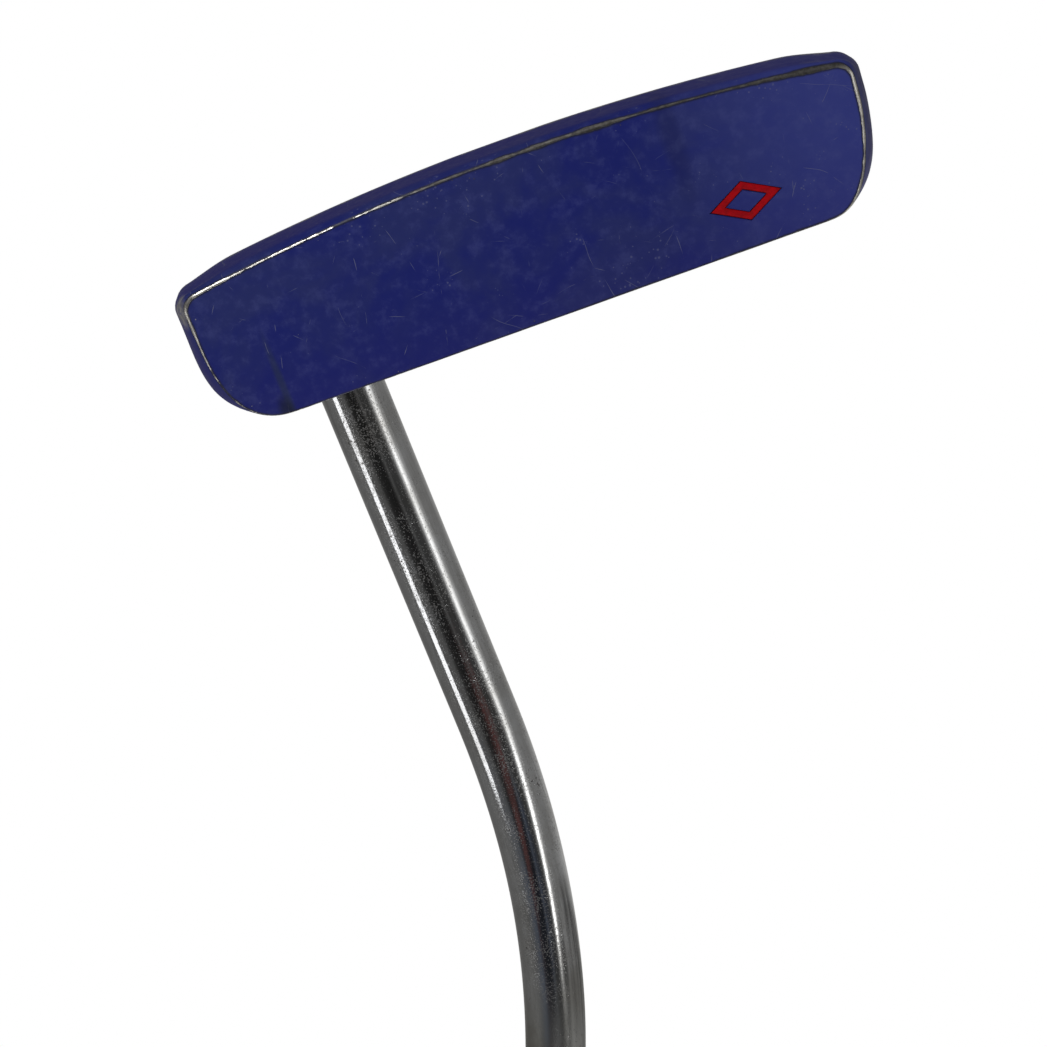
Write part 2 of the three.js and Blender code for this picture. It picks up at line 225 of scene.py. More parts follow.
def turned(bm, profile, facets, place):
    """A closed profile of (radius, height) pairs turned about an axis; place maps to the frame."""
    rings = [ring(bm, [place(polar(r, a, z)) for r, z in profile]) for a in around(facets)]
    for k in range(facets):
        a, b = rings[k], rings[(k + 1) % facets]
        for i in range(len(profile)):
            j = (i + 1) % len(profile)
            bm.faces.new((a[i], b[i], b[j], a[j]))
    bmesh.ops.recalc_face_normals(bm, faces=bm.faces)


# ---- Head shape ----
def camber(x):
    return max(0.0, (x * x - FLAT_HALF**2) / (2 * CAMBER_RADIUS))


def sole_height(d):
    if d < LAND_START:
        return SOLE_EDGE_RISE * (1 - d / LAND_START) ** 2
    return max(0.0, d - LAND_END) * math.tan(RELIEF)


def top_height(d):
    bar = HEAD_HEIGHT - min(d, BAR_BACK) * math.tan(BAR_SLOPE)
    flange = FLANGE_TOP - (d - BAR_BACK - STEP_DEPTH) * math.tan(FLANGE_SLOPE)
    return lerp(bar, flange, smoothstep(d, BAR_BACK, BAR_BACK + STEP_DEPTH))


def plan_share(d, height_share):
    """The half-width at a depth, as a share of the face's own, at a share of the height there."""
    shoulder = 1 + SHOULDER * height_share**4 * (1 - height_share)
    body = 1 + FLARE * shoulder / FACE_HALF
    if d < FLARE_DEPTH:
        left = 1 - d / FLARE_DEPTH
        return body - (body - 1) * left * left
    back = max(0.0, d - PLAN_WIDEST) / (HEAD_DEPTH - PLAN_WIDEST)
    share = max(0.0, 1 - back**PLAN_POWER) ** (1 / PLAN_POWER)
    return body * max(TAIL_SHARE, share)


def head_point(x, z, d):
    """Where a point of the face's outline lies at a depth behind the face."""
    share = (z - camber(x)) / (HEAD_HEIGHT - camber(x))
    widening = plan_share(d, share)
    lift = END_LIFT * smoothstep(abs(x), END_FROM, FACE_HALF) * smoothstep(d, 0, END_RISE_DEPTH)
    bottom = camber(x * min(1.0, widening)) + sole_height(d) + lift
    height = bottom + share * (top_height(d) - bottom)
    return Vector((x * widening, d - LAND_MIDDLE + height * math.tan(LOFT), height))


def corner_points(corner, side, count):
    widest, width, side_power, top_power = corner
    tall = HEAD_HEIGHT - widest
    inner = FACE_HALF - width
    points = []
    for i in range(count):
        a = math.pi / 2 * i / (count - 1)
        x = inner + width * max(0.0, math.cos(a)) ** (2 / side_power)
        z = widest + tall * math.sin(a) ** (2 / top_power)
        points.append((side * x, z))
    return points


def face_outline():
    """The face's outline, counter-clockwise seen from the front, from the toe end of the sole."""
    w, r = FACE_HALF, LOWER_CORNER
    sole_end = w - r
    count = 96
    sole = [lerp(-sole_end, sole_end, i / count) for i in range(count + 1)]
    sole = [(x, camber(x)) for x in sole]
    arc = []
    for k in range(1, 9):
        a = math.pi / 2 * k / 8
        arc.append((sole_end + r * math.sin(a), camber(sole_end) + r * (1 - math.cos(a))))
    heel = corner_points(HEEL_CORNER, 1, 30)
    toe = corner_points(TOE_CORNER, -1, 30)
    top = [(lerp(heel[-1][0], toe[-1][0], i / 76), HEAD_HEIGHT) for i in range(1, 76)]
    side = [(w, lerp(arc[-1][1], HEEL_CORNER[0], k / 4)) for k in range(1, 4)]
    toe_side = [(-w, lerp(arc[-1][1], TOE_CORNER[0], k / 4)) for k in range(3, 0, -1)]
    toe_arc = [(-x, z) for x, z in reversed(arc)]
    return sole + arc + side + heel + top + list(reversed(toe)) + toe_side + toe_arc


def outline_normals(points):
    """Outward unit normals of a closed counter-clockwise outline."""
    normals = []
    n = len(points)
    for i in range(n):
        (x0, z0), (x1, z1) = points[i - 1], points[(i + 1) % n]
        t = Vector((x1 - x0, z1 - z0)).normalized()
        normals.append((t.y, -t.x))
    return normals


# How far the paint is worn back from the face's edge, in millimetres: a place on the outline as X
# and height, and the width there.
WEAR_SPOTS = [
    ((-38.0, 24.2), 0.2), ((-20.0, 24.3), 0.14), ((0.0, 24.3), 0.1), ((30.0, 24.3), 0.08),
    ((44.0, 22.5), 0.1), ((47.4, 14.0), 0.18), ((47.4, 6.5), 0.3), ((46.8, 4.0), 0.34),
    ((40.0, 2.6), 0.19), ((32.0, 1.6), 0.16), ((23.0, 0.8), 0.13), ((15.0, 0.3), 0.14),
    ((6.0, 0.0), 0.14), ((-2.0, 0.0), 0.3), ((-8.0, 0.0), 0.42), ((-13.0, 0.2), 0.4),
    ((-20.0, 0.6), 0.18), ((-28.0, 1.2), 0.08), ((-36.0, 2.1), 0.24), ((-42.5, 2.8), 0.5),
    ((-47.0, 5.0), 0.34), ((-47.4, 12.0), 0.3), ((-44.5, 21.0), 0.26),
]


def wear_width(x, z):
    """The mean of the nearby wear spots, weighted by closeness."""
    total = weight_sum = 0.0
    for (sx, sz), width in WEAR_SPOTS:
        gap = (x - sx) ** 2 + (3 * (z - sz)) ** 2 + 12.0
        weight = 1 / gap**2
        total += width * weight
        weight_sum += weight
    return total / weight_sum


def head_depths():
    """The depths of the sections behind the face's rounded edge."""
    front = [1.0, 1.3, 1.6, LAND_START, 2.6, 3.5, 4.4, 5.4, 6.4, FLARE_DEPTH, 8.2, LAND_END]
    bar = [10.4, 11.8, 13.2, 14.5, 15.1]
    step = [BAR_BACK + STEP_DEPTH * i / 16 for i in range(17)]
    end = BAR_BACK + STEP_DEPTH
    tail = [end + (HEAD_DEPTH - end) * math.sin(math.pi / 2 * i / 28) for i in range(1, 29)]
    return front + bar + step + [d for d in tail if d < HEAD_DEPTH - TAIL_ROUND]


def rounded_edge(start, corner, end, count):
    """Points of a quadratic curve that rounds off a corner."""
    return [
        start * (1 - t) ** 2 + corner * (2 * t * (1 - t)) + end * t**2
        for t in (i / count for i in range(count + 1))
    ]


def edge_radius(x, z, s, phases):
    """The radius that wear has left on the face's edge, at a share s of the way round."""
    wave = sum(math.sin((3 + 5 * k) * 2 * math.pi * s + p) for k, p in enumerate(phases))
    radius = EDGE_RADIUS + EDGE_RADIUS_WORN * wear_width(x, z)
    return radius * (1 + 0.3 * wave / len(phases))


def head_blank():
    """The head with its edges rounded, before anything is cut in it."""
    rng = random.Random(7)
    phases = [rng.uniform(0, 2 * math.pi) for _ in range(6)]
    outline = face_outline()
    normals = outline_normals(outline)
    columns = []
    for i, ((x, z), (nx, nz)) in enumerate(zip(outline, normals)):
        r = edge_radius(x, z, i / len(outline), phases)
        insets = [r + a for a in FACE_INSETS] + [r]
        column = [head_point(x - nx * a, z - nz * a, 0) for a in insets]
        side = head_point(x, z, r * 1.1)
        column += rounded_edge(column[-1], head_point(x, z, 0), side, 6)[1:]
        column += [head_point(x, z, d) for d in head_depths()]
        # The last ring is a smaller outline, drawn in towards mid-height.
        tail = head_point(0.93 * x, 12 + 0.5 * (z - 12), HEAD_DEPTH)
        column += rounded_edge(column[-1], head_point(x, z, HEAD_DEPTH), tail, 5)[1:]
        columns.append(column)
    bm = bmesh.new()
    skin(bm, [ring(bm, row) for row in zip(*columns)])
    return bm


# ---- Shaft axis ----
LOWER_WAY = Vector((-math.tan(LEAN_TOE), -math.tan(LEAN_TARGET), 1)).normalized()
UPPER_WAY = Vector((math.sin(LIE_LEAN), 0, math.cos(LIE_LEAN)))
ENTRY_TOP = top_height(ENTRY_DEPTH)
ENTRY = Vector((ENTRY_X, ENTRY_DEPTH - LAND_MIDDLE + ENTRY_TOP * math.tan(LOFT), ENTRY_TOP))
BEND_ANGLE = LOWER_WAY.angle(UPPER_WAY)
BEND_RADIUS = BEND_LENGTH / BEND_ANGLE
INWARD = (UPPER_WAY - LOWER_WAY * UPPER_WAY.dot(LOWER_WAY)).normalized()
ACROSS = LOWER_WAY.cross(INWARD)
TIP_BELOW = BORE_DEPTH - TIP_GAP  # from the top of the head down to the shaft's tip
TIP = ENTRY - LOWER_WAY * TIP_BELOW
BEND_FROM_TIP = TIP_BELOW + BEND_START


def on_lower_axis(p):
    """From the straight blank, with its tip at 0 and its length along Z, to the row frame."""
    return TIP + INWARD * p.x + ACROSS * p.y + LOWER_WAY * p.z


def bent(p):
    """As on_lower_axis, but bent where the shaft bends."""
    past = p.z - BEND_FROM_TIP
    if past <= 0:
        return on_lower_axis(p)
    angle = min(past, BEND_LENGTH) / BEND_RADIUS
    rest = max(0.0, past - BEND_LENGTH)
    arm = BEND_RADIUS - p.x
    x = BEND_RADIUS - arm * math.cos(angle) + rest * math.sin(angle)
    z = BEND_FROM_TIP + arm * math.sin(angle) + rest * math.cos(angle)
    return on_lower_axis(Vector((x, p.y, z)))


BEND_END = bent(Vector((0, 0, BEND_FROM_TIP + BEND_LENGTH)))
GROUND = BEND_END - UPPER_WAY * (BEND_END.z / UPPER_WAY.z)
GRIP_END = GROUND + UPPER_WAY * CLUB_LENGTH
SHAFT_LENGTH = (
    BEND_FROM_TIP + BEND_LENGTH + (GRIP_END - BEND_END).length - CAP_THICKNESS - SHAFT_GAP
)
UPPER_X = Vector((math.cos(LIE_LEAN), 0, -math.sin(LIE_LEAN)))
UPPER_Y = Vector((0, 1, 0))


def on_upper_axis(p):
    """From the grip's own frame, with 0 at its end and Z up the shaft, to the row frame."""
    return GRIP_END + UPPER_X * p.x + UPPER_Y * p.y + UPPER_WAY * p.z


# ---- Cuts in the head ----
def cut(obj, cutter):
    """Subtracts a closed object in the same frame and removes it."""
    modifier = obj.modifiers.new("cut", "BOOLEAN")
    modifier.operation = "DIFFERENCE"
    modifier.solver = "EXACT"
    modifier.object = cutter
    with bpy.context.temp_override(object=obj, active_object=obj):
        bpy.ops.object.modifier_apply(modifier=modifier.name)
    mesh = cutter.data
    bpy.data.objects.remove(cutter)
    bpy.data.meshes.remove(mesh)


def bore_cutter():
    axis = 0.001  # a radius small enough for its points to be merged
    clear = TIP_BELOW + 4  # well above the top of the head
    profile = [
        (axis, TIP_BELOW - BORE_DEPTH),
        (BORE_RADIUS, TIP_BELOW - BORE_DEPTH),
        (BORE_RADIUS, TIP_BELOW - SINK_DEPTH),
        (SINK_RADIUS, TIP_BELOW),
        (SINK_RADIUS + 0.25, clear),
        (axis, clear),
    ]
    bm = bmesh.new()
    turned(bm, profile, BORE_FACETS, on_lower_axis)
    bmesh.ops.remove_doubles(bm, verts=bm.verts, dist=0.002)
    return new_object("bore_cutter", bm, None)


def on_face(p):
    """From the face's plane, with x along X, y up the face and z out of it, to the row frame."""
    out = Vector((0, -math.cos(LOFT), math.sin(LOFT)))
    up = Vector((0, math.sin(LOFT), math.cos(LOFT)))
    return Vector((p.x, -LAND_MIDDLE, 0)) + up * p.y + out * p.z


def diamond(grow, per_side=10):
    """A diamond's outline round the mark's centre, grown by a distance on every side."""
    slant = math.hypot(MARK_WIDTH, MARK_TALL)
    half_width = MARK_WIDTH / 2 + grow * slant / MARK_TALL
    half_tall = MARK_TALL / 2 + grow * slant / MARK_WIDTH
    corners = [(half_width, 0), (0, half_tall), (-half_width, 0), (0, -half_tall)]
    points = []
    for (x0, y0), (x1, y1) in zip(corners, corners[1:] + corners[:1]):
        shares = [k / per_side for k in range(per_side)]
        points += [(lerp(x0, x1, t), lerp(y0, y1, t)) for t in shares]
    return points


def mark_ring(gap, levels):
    """The hollow diamond on the face: a closed band between two outlines, from level to level.

    levels is a list of (height out of the face, extra inset) pairs, from the bottom up."""
    bm = bmesh.new()
    rows = []
    for level, inset in levels:
        rows.append([(diamond(gap - inset), level), (diamond(-MARK_STROKE - gap + inset), level)])
    loops = [row[0] for row in rows] + [row[1] for row in reversed(rows)]
    centre = MARK_HEIGHT / math.cos(LOFT)
    rings = [
        ring(bm, [on_face(Vector((MARK_X + x, centre + y, level))) for x, y in points])
        for points, level in loops
    ]
    skin(bm, rings, closed=True)
    return bm


def stadium(half_length, half_width, power=6, count=64):
    """A superellipse close to a rectangle with rounded corners."""

    def squared(value):
        return math.copysign(abs(value) ** (2 / power), value)

    return [
        (half_width * squared(math.cos(a)), half_length * squared(math.sin(a)))
        for a in around(count)
    ]


def on_top(x, d, level):
    """A point over the top of the head at a depth, with a level above the surface there."""
    z = top_height(d) + level
    return Vector((x, d - LAND_MIDDLE + z * math.tan(LOFT), z))


def sight_bar(span, gap, levels):
    """A bar lying along the middle of the head's top, inset by a gap, from level to level."""
    middle, half = (span[0] + span[1]) / 2, (span[1] - span[0]) / 2
    bm = bmesh.new()
    rings = []
    for level, inset in levels:
        points = stadium(half - gap - inset, SIGHT_WIDTH / 2 - gap - inset)
        rings.append(ring(bm, [on_top(x, middle + y, level) for x, y in points]))
    skin(bm, rings)
    return bm


def add_wear(obj):
    """Stores on each vertex how far it is from the face's edge and how worn that edge is."""
    edges = [(head_point(x, z, 0), wear_width(x, z)) for x, z in face_outline()]
    tree = kdtree.KDTree(len(edges))
    for i, (point, _) in enumerate(edges):
        tree.insert(point, i)
    tree.balance()
    mesh = obj.data
    gap = mesh.attributes.new("edge_gap", "FLOAT", "POINT")
    wear = mesh.attributes.new("edge_wear", "FLOAT", "POINT")
    for i, vertex in enumerate(mesh.vertices):
        at = vertex.co / MM
        nearest, index, _ = tree.find(at)
        before, after = edges[index - 1][0], edges[(index + 1) % len(edges)][0]
        tangent = (after - before).normalized()
        away = at - nearest
        gap.data[i].value = (away - tangent * away.dot(tangent)).length
        wear.data[i].value = edges[index][1]


def make_head(paint):
    head = new_object("head_casting", head_blank(), paint)
    cut(head, bore_cutter())
    cut(head, new_object("mark_cutter", mark_ring(0, CUT_LEVELS), None))
    for span in SIGHT_SPANS.values():
        cut(head, new_object("sight_cutter", sight_bar(span, 0, CUT_LEVELS), None))
    add_wear(head)
    shade(head, 32)
    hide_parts("head_body")
    return head


# ---- Shaft and grip ----
def shaft_radius(z):
    rise = (BUTT_RADIUS - TIP_RADIUS) / STEPS
    radius = TIP_RADIUS
    for i in range(STEPS):
        start = TIP_PARALLEL + i * STEP_PITCH
        radius += rise * smoothstep(z, start, start + STEP_RAMP)
    return radius


def shaft_stations():
    """Distances from the tip, closer at the bend and on each step."""
    stations = [0.0, 0.15, 0.4] + [2.5 * i for i in range(1, 31)]
    stations += [BEND_FROM_TIP + BEND_LENGTH * i / 44 for i in range(1, 45)]
    last = stations[-1]
    stations += [lerp(last, TIP_PARALLEL, i / 26) for i in range(1, 26)]
    for i in range(STEPS):
        start = TIP_PARALLEL + i * STEP_PITCH
        stations += [start + STEP_RAMP * k / 6 for k in range(7)]
        stations += [start + STEP_RAMP + (STEP_PITCH - STEP_RAMP) * k / 4 for k in range(1, 4)]
    last = stations[-1]
    stations += [lerp(last, SHAFT_LENGTH, i / 12) for i in range(1, 13)]
    return sorted(set(round(z, 4) for z in stations))


def make_shaft(chrome):
    """The tube, slightly flattened in the bend as a bent tube is."""
    stations = shaft_stations()
    bm = bmesh.new()

    def loop(z, radius):
        t = (z - BEND_FROM_TIP) / BEND_LENGTH
        flat = BEND_FLATTENING * math.sin(math.pi * t) ** 2 if 0 < t < 1 else 0.0
        points = []
        for a in around(SHAFT_FACETS):
            x = radius * (1 - flat) * math.cos(a)
            y = radius * (1 + flat * 0.6) * math.sin(a)
            points.append(bent(Vector((x, y, z))))
        return ring(bm, points)

    rings = []
    for z in stations:
        radius = shaft_radius(z)
        if z == 0.0 or z == stations[-1]:
            radius -= TUBE_END_ROUND
        rings.append(loop(z, radius))
    wall_top = BUTT_RADIUS - BUTT_WALL
    wall_tip = TIP_RADIUS - TIP_WALL
    butt_from = SHAFT_LENGTH - BUTT_WALL_LENGTH
    for z in (SHAFT_LENGTH, butt_from):
        rings.append(loop(z, wall_top))
    for z in [lerp(butt_from, TIP_PARALLEL, i / 12) for i in range(1, 13)]:
        rings.append(loop(z, lerp(wall_top, wall_tip, smoothstep(z, butt_from, TIP_PARALLEL))))
    for i in range(45):
        rings.append(loop(BEND_FROM_TIP + BEND_LENGTH * (1 - i / 44), wall_tip))
    rings.append(loop(0.0, wall_tip))
    skin(bm, rings, closed=True)
    shaft = new_object("shaft_tube", bm, chrome, 30)
    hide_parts("shaft")
    return shaft


def make_bond(epoxy):
    """The adhesive round the shaft, drawn up a little where it meets the metal."""
    inner = TIP_RADIUS + 0.04
    outer = BORE_RADIUS - 0.08
    bottom = -0.15
    crown = TIP_BELOW - SINK_DEPTH / 2
    profile = [
        (inner, bottom),
        (outer, bottom),
        (outer, TIP_BELOW - SINK_DEPTH),
        (outer + 0.3, crown - 0.02),
        (outer + 0.12, crown + 0.05),
        (lerp(inner, outer, 0.5), crown + 0.1),
        (inner + 0.05, crown + 0.24),
        (inner, crown + 0.34),
    ]
    bm = bmesh.new()
    turned(bm, profile, BORE_FACETS, on_lower_axis)
    bond = new_object("bond_ring", bm, epoxy, 40)
    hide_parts("shaft_bond")
    return bond


def grip_radius(below, angle):
    """The grip's outside at a distance below its end; the angle starts at the golfer's side."""
    t = below / GRIP_LENGTH
    swell = math.exp(-(((below - SWELL_BELOW) / SWELL_REACH) ** 2))
    neck = smoothstep(1 - t, 0, NECK_SHARE)
    fullness = (1 - SWELL_SHARE) * neck + SWELL_SHARE * swell
    half = GRIP_MOUTH + (GRIP_HALF - GRIP_MOUTH) * neck
    back = GRIP_MOUTH + (GRIP_BACK - GRIP_MOUTH) * fullness
    front = GRIP_MOUTH + (GRIP_FLAT - GRIP_MOUTH) * neck
    side, depth = math.sin(angle), math.cos(angle)
    reach = back if depth > 0 else half
    oval = 1 / math.hypot(side / half, depth / reach)
    if depth > -1e-6:
        return oval
    # A smooth minimum, so that the flat's long edges are soft.
    blend = 0.8
    flat = min(-front / depth, oval + blend)
    h = min(1.0, max(0.0, 0.5 + 0.5 * (flat - oval) / blend))
    return lerp(flat, oval, h) - blend * h * (1 - h)


def grip_relief(below, angle):
    """Moulded detail in millimetres: ribs across the thumb flat and a bead at each end."""
    relief = 0.0
    if RIB_FROM < below < RIB_TO:
        phase = ((below - RIB_FROM) / RIB_PITCH) % 1.0
        groove = smoothstep(abs(phase - 0.5), 0.16, 0.3)
        off = abs(abs(angle) - math.pi)
        relief -= RIB_DEPTH * (1 - groove) * (1 - smoothstep(off, 0.42, 0.56))
    for bead in BEADS:
        relief -= BEAD_DEPTH * math.exp(-(((below - bead) / BEAD_REACH) ** 2))
    return relief


def round_ring(bm, z, radius):
    """A round ring of vertices about the upper shaft's axis."""
    return ring(bm, [on_upper_axis(polar(radius, a, z)) for a in around(GRIP_FACETS)])


def make_grip(rubber):
    """The sleeve: a fine outer surface with its moulded ribs, and a plain bore."""
    body_top = -CAP_THICKNESS + CAP_FLANGE
    low, high = -GRIP_LENGTH + 0.45, body_top - 0.3
    bore_rows = 20
    bm = bmesh.new()

    def outer(z, inset):
        points = []
        for a in around(GRIP_FACETS):
            signed = a if a <= math.pi else a - 2 * math.pi
            r = grip_radius(-z, a) + grip_relief(-z, signed) - inset
            points.append(on_upper_axis(polar(r, a, z)))
        return ring(bm, points)

    rings = [outer(-GRIP_LENGTH, 0.75), outer(-GRIP_LENGTH + 0.12, 0.42)]
    for i in range(GRIP_ROWS + 1):
        rings.append(outer(lerp(low, high, i / GRIP_ROWS), 0.12 if i == 0 else 0.0))
    rings += [outer(body_top - 0.1, 0.1), outer(body_top, 0.3)]
    for i in range(bore_rows + 1):
        rings.append(round_ring(bm, lerp(body_top, -GRIP_LENGTH, i / bore_rows), GRIP_BORE))
    skin(bm, rings, closed=True)
    grip = new_object("grip_sleeve", bm, rubber, 50)
    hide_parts("grip")
    return grip


def make_cap(rubber):
    """The button that closes the sleeve, with its vent and a sunk ring round it."""
    seat = -CAP_THICKNESS + CAP_FLANGE + CAP_GAP
    under = -CAP_THICKNESS - CAP_GAP
    spigot_end = under - SPIGOT_LENGTH
    spigot = BUTT_RADIUS - BUTT_WALL - SPIGOT_GAP
    sleeve_end = CAP_THICKNESS - CAP_FLANGE  # below the grip's end
    bm = bmesh.new()

    def shaped(z, inset):
        points = []
        for a in around(GRIP_FACETS):
            r = grip_radius(sleeve_end, a) - inset
            points.append(on_upper_axis(polar(r, a, z)))
        return ring(bm, points)

    inside = [
        (-0.3, VENT_RADIUS),
        (spigot_end, VENT_RADIUS),
        (spigot_end, spigot - 0.5),
        (spigot_end + 1, spigot),
        (under, spigot),
        (under, GRIP_BORE - CAP_GAP),
        (seat, GRIP_BORE - CAP_GAP),
    ]
    rings = [round_ring(bm, z, radius) for z, radius in inside]
    rings += [shaped(seat + rise, inset) for rise, inset in CAP_RIM]
    rings.append(shaped(0.0, 2.3))
    rings += [round_ring(bm, z, radius) for z, radius in CAP_END]
    skin(bm, rings, closed=True)
    cap = new_object("grip_end_cap", bm, rubber, 40)
    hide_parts("grip_cap")
    return cap


# ---- Materials ----
class Nodes:
    """A node tree, built a node at a time. Socket values may be numbers or outputs."""

    def __init__(self, tree):
        self.tree = tree
        tree.nodes.clear()

    def put(self, socket, value):
        if isinstance(value, bpy.types.NodeSocket):
            self.tree.links.new(value, socket)
        else:
            socket.default_value = value

    def node(self, kind, inputs, **settings):
        made = self.tree.nodes.new("ShaderNode" + kind)
        for key, value in settings.items():
            setattr(made, key, value)
        for key, value in inputs.items():
            self.put(made.inputs[key], value)
        return made

    def axis(self, vector, name):
        return self.node("SeparateXYZ", {"Vector": vector}).outputs[name]

    def math(self, operation, a, b=0.0, c=0.0):
        return self.node("Math", {0: a, 1: b, 2: c}, operation=operation).outputs[0]

    def plus(self, a, b):
        return self.math("ADD", a, b)

    def minus(self, a, b):
        return self.math("SUBTRACT", a, b)

    def times(self, a, b):
        return self.math("MULTIPLY", a, b)

    def larger(self, a, b):
        return self.math("MAXIMUM", a, b)

    def is_less(self, a, b):
        return self.math("LESS_THAN", a, b)

    def vector_math(self, operation, a, b):
        return self.node("VectorMath", {0: a, 1: b}, operation=operation).outputs[0]

    def noise(self, vector, scale, detail=3.0, roughness=0.55):
        inputs = {"Vector": vector, "Scale": scale, "Detail": detail, "Roughness": roughness}
        return self.node("TexNoise", inputs).outputs["Fac"]

    def band(self, value, low, high, to_low=0.0, to_high=1.0):
        """Smoothly from to_low at low to to_high at high."""
        ends = {"From Min": low, "From Max": high, "To Min": to_low, "To Max": to_high}
        inputs = {"Value": value, **ends}
        return self.node("MapRange", inputs, interpolation_type="SMOOTHSTEP").outputs["Result"]

    def mix(self, factor, a, b):
        inputs = {"Factor": factor, "A": a, "B": b}
        return self.node("Mix", inputs, data_type="RGBA").outputs["Result"]


class Shader(Nodes):
    """A material with one principled surface. Lengths and places are in metres unless it says."""

    def __init__(self, name):
        self.material = bpy.data.materials.new(name)
        self.material.use_nodes = True
        super().__init__(self.material.node_tree)
        output = self.node("OutputMaterial", {})
        self.surface = self.node("BsdfPrincipled", {})
        self.put(output.inputs["Surface"], self.surface.outputs["BSDF"])

    def set(self, **values):
        for key, value in values.items():
            self.put(self.surface.inputs[key.replace("_", " ")], value)

    def place(self):
        return self.node("TexCoord", {}).outputs["Object"]

    def attribute(self, name):
        return self.node("Attribute", {}, attribute_name=name).outputs["Fac"]

    def turned(self, vector, scale=(1, 1, 1), rotation=(0, 0, 0), location=(0, 0, 0)):
        rotation = tuple(math.radians(r) for r in rotation)
        inputs = {"Vector": vector, "Location": location, "Rotation": rotation, "Scale": scale}
        return self.node("Mapping", inputs).outputs["Vector"]

    def cells(self, vector, scale):
        """The distance from the nearest of many scattered points."""
        return self.node("TexVoronoi", {"Vector": vector, "Scale": scale}).outputs["Distance"]

    def warped(self, vector, scale, amount):
        """The vector pushed about by noise, by up to half the amount each way."""
        push = self.node("TexNoise", {"Vector": vector, "Scale": scale, "Detail": 2.0})
        centred = self.vector_math("SUBTRACT", push.outputs["Color"], (0.5, 0.5, 0.5))
        scaled = self.node("VectorMath", {0: centred, "Scale": amount}, operation="SCALE")
        return self.vector_math("ADD", vector, scaled.outputs[0])

    def spot(self, place, centre, reach):
        """1 at a point in millimetres and 0 beyond its reach along each axis, smoothly."""
        offset = self.vector_math("SUBTRACT", place, tuple(c * MM for c in centre))
        share = self.vector_math("MULTIPLY", offset, tuple(1 / (r * MM) for r in reach))
        length = self.node("VectorMath", {0: share}, operation="LENGTH").outputs["Value"]
        return self.band(length, 0.25, 1.0, 1.0, 0.0)

    def bump(self, height, strength, distance):
        inputs = {"Height": height, "Strength": strength, "Distance": distance}
        return self.node("Bump", inputs).outputs["Normal"]


def colour(red, green, blue):
    """A linear colour."""
    return (red, green, blue, 1.0)


# Blue paint, as new and as time has left it, with painted light towards the toe, painted shade
# along the face's edge and a painted highlight on the sole's ridge.
PAINT = colour(0.0096, 0.0150, 0.140)
PAINT_PATCH = colour(0.0182, 0.0250, 0.128)
PAINT_TOE_LIT = colour(0.041, 0.052, 0.245)
PAINT_BLOOM = colour(0.056, 0.068, 0.235)
PAINT_BEHIND = colour(0.0220, 0.0185, 0.150)
PAINT_RIDGE_WEAR_AND_HIGHLIGHT = colour(0.200, 0.195, 0.185)
PAINT_SCRATCHED = colour(0.115, 0.125, 0.215)
PAINT_SPECK = colour(0.085, 0.095, 0.200)
PAINT_EDGE_SHADE = colour(0.014, 0.014, 0.018)
# The cast metal under it, dull and with a painted highlight, each in two tones.
METAL_DULL = (colour(0.054, 0.051, 0.048), colour(0.100, 0.096, 0.090))
METAL_HIGHLIGHT = (colour(0.40, 0.385, 0.35), colour(0.70, 0.68, 0.63))
# The plate on the shaft.
CHROME = colour(0.64, 0.65, 0.67)
CHROME_HAZE = colour(0.50, 0.50, 0.50)
CHROME_STREAK = colour(0.36, 0.36, 0.35)
CHROME_DULL = (colour(0.44, 0.44, 0.42), colour(0.33, 0.31, 0.27))
CHROME_PIT = colour(0.24, 0.235, 0.225)
RUST = colour(0.050, 0.042, 0.038)
# Moulded rubber.
RUBBER = colour(0.0085, 0.0085, 0.0095)
RUBBER_DUST = colour(0.036, 0.035, 0.033)
RUBBER_WORN = colour(0.013, 0.0125, 0.013)
ENAMEL_DIRT = colour(0.02, 0.015, 0.02)

# Layers of scratches: the lines' spacing and width in metres, the share shown, and the turn.
FACE_SCRATCHES = [
    (0.011, 0.00005, 0.13, 12),
    (0.010, 0.00004, 0.12, 71),
    (0.014, 0.00005, 0.13, -38),
    (0.009, 0.00004, 0.10, -80),
    (0.012, 0.00004, 0.12, 47),
    (0.012, 0.00005, 0.11, -14),
]
# Darker streaks and a spot on the face: the middle and the reach along each axis in millimetres,
# strength, colour.
FACE_STREAKS = [
    ((38.9, -3.6, 20.0), (0.8, 9.0, 10.0), 0.5, colour(0.022, 0.032, 0.050)),
    ((39.6, -3.6, 23.6), (1.6, 3.0, 3.2), 0.7, colour(0.008, 0.011, 0.016)),
    ((-22.0, -4.5, 6.0), (2.2, 12.0, 13.0), 0.3, colour(0.007, 0.009, 0.045)),
]


def scratches(s, place, layers, seed):
    """A mask of fine scratches: families of wavering lines that only show in short stretches."""
    mask = None
    for i, (spacing, width, share, turn) in enumerate(layers):
        shift = (seed + 0.013 * i, 0, 0.3 * i)
        lying = s.turned(place, rotation=(0, turn, 0), location=shift)
        wavering = s.warped(lying, 0.7 / spacing, 0.45 * spacing)
        step = s.math("FRACT", s.math("DIVIDE", s.axis(wavering, "X"), spacing))
        off = s.math("ABSOLUTE", s.minus(step, 0.5))
        shown = s.noise(lying, 260.0 + 25 * i, detail=2.0)
        limit = s.band(shown, 0.68 - share, 0.8 - share, 0.0, width / spacing)
        line = s.is_less(off, limit)
        mask = line if mask is None else s.larger(mask, line)
    return mask


